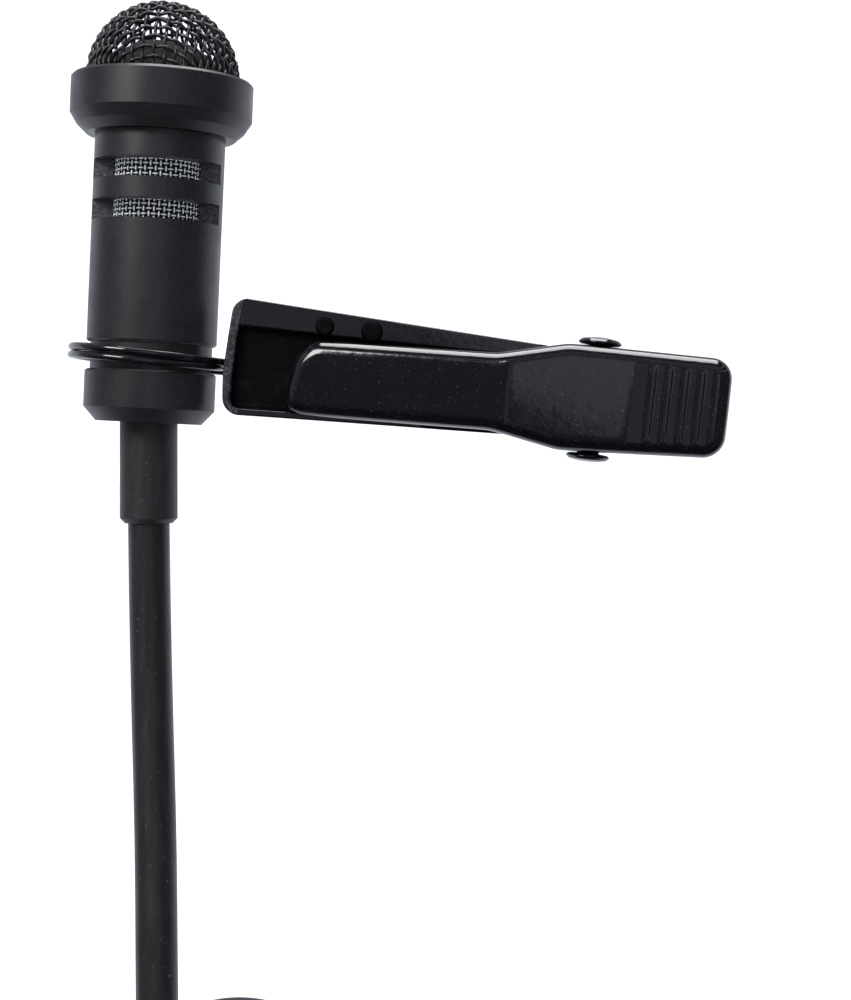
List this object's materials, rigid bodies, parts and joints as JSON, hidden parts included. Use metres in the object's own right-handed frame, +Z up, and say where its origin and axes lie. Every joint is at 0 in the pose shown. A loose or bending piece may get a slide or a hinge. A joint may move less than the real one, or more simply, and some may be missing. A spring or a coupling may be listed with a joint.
{
  "type": "lavalier microphone",
  "caption": "Lavalier microphone with a woven wire dome and slotted body, held in the wire ring of a sprung clip, with its cable and jack plug.",
  "frame": {"origin": "where the clip's jaws grip the cloth: on the rear jaw's inner face, under the lever's nose", "axes": "+Z up along the microphone's axis to its dome, +X along the clip away from the microphone, -Y the front, where the lever is"},
  "size_m": [0.0548, 0.0271, 0.2186],
  "materials": {
    "satin_black": "satin black anodised, faint speckle",
    "dome_wire": "black coated woven wire",
    "screen_wire": "bright woven steel wire",
    "gloss_black": "gloss black paint on stamped steel",
    "black_wire": "gloss black spring wire",
    "spring_steel": "plain spring steel",
    "black_rubber": "matte black moulded rubber",
    "cable_jacket": "matte black cable jacket",
    "foam": "fine black open foam",
    "felt": "black acoustic felt",
    "capsule_metal": "satin aluminium",
    "brass": "turned brass",
    "board": "green circuit board",
    "lead_insulation": "thin coloured wire insulation",
    "membrane": "thin metallised film",
    "tie": "black woven hook and loop strap",
    "nickel": "nickel plated contact",
    "insulator": "black insulating ring"
  },
  "bodies": {
    "clip": {"rear_jaw": "gloss_black", "pivot_pin": "gloss_black", "torsion_spring": "spring_steel", "mic_ring": "black_wire", "ring_bracket": "gloss_black", "ring_rivets": "gloss_black"},
    "lever": {"front_lever": "gloss_black"},
    "microphone": {"end_cap": "satin_black", "body_tube": "satin_black", "head_collar": "satin_black", "dome_grille": "dome_wire", "dome_ring": "satin_black", "foam_plug": "foam", "side_screen": "screen_wire", "felt_sleeve": "felt", "capsule_can": "capsule_metal", "capsule_gasket": "black_rubber", "diaphragm": "membrane", "capsule_spacer": "insulator", "backplate": "brass", "capsule_board": "board", "lead_wires": "lead_insulation", "strain_relief": "black_rubber", "cable_crimp": "brass", "cable": "cable_jacket", "cable_hank": "cable_jacket", "hank_tie": "tie", "cable_tail": "cable_jacket", "plug_boot": "black_rubber", "plug_barrel": "satin_black", "plug_sleeve_contact": "nickel", "plug_ring_contact": "nickel", "plug_tip_contact": "nickel", "plug_insulators": "insulator"}
  },
  "joints": [
    {"name": "lever_pivot", "type": "hinge", "parent": "clip", "child": "lever", "pos_m": [0.02415, -0.0026, -0.00152], "axis": [0.0628, 0, 0.998], "range_deg": [0, 25], "stiffness_Nm_per_rad": 0.18, "springref_deg": -38.39, "deforming": ["torsion_spring"]},
    {"name": "mic_swivel", "type": "hinge", "parent": "clip", "child": "microphone", "pos_m": [-0.01258, 0.0023, 0.00034], "axis": [0, 0, 1], "continuous": true}
  ]
}
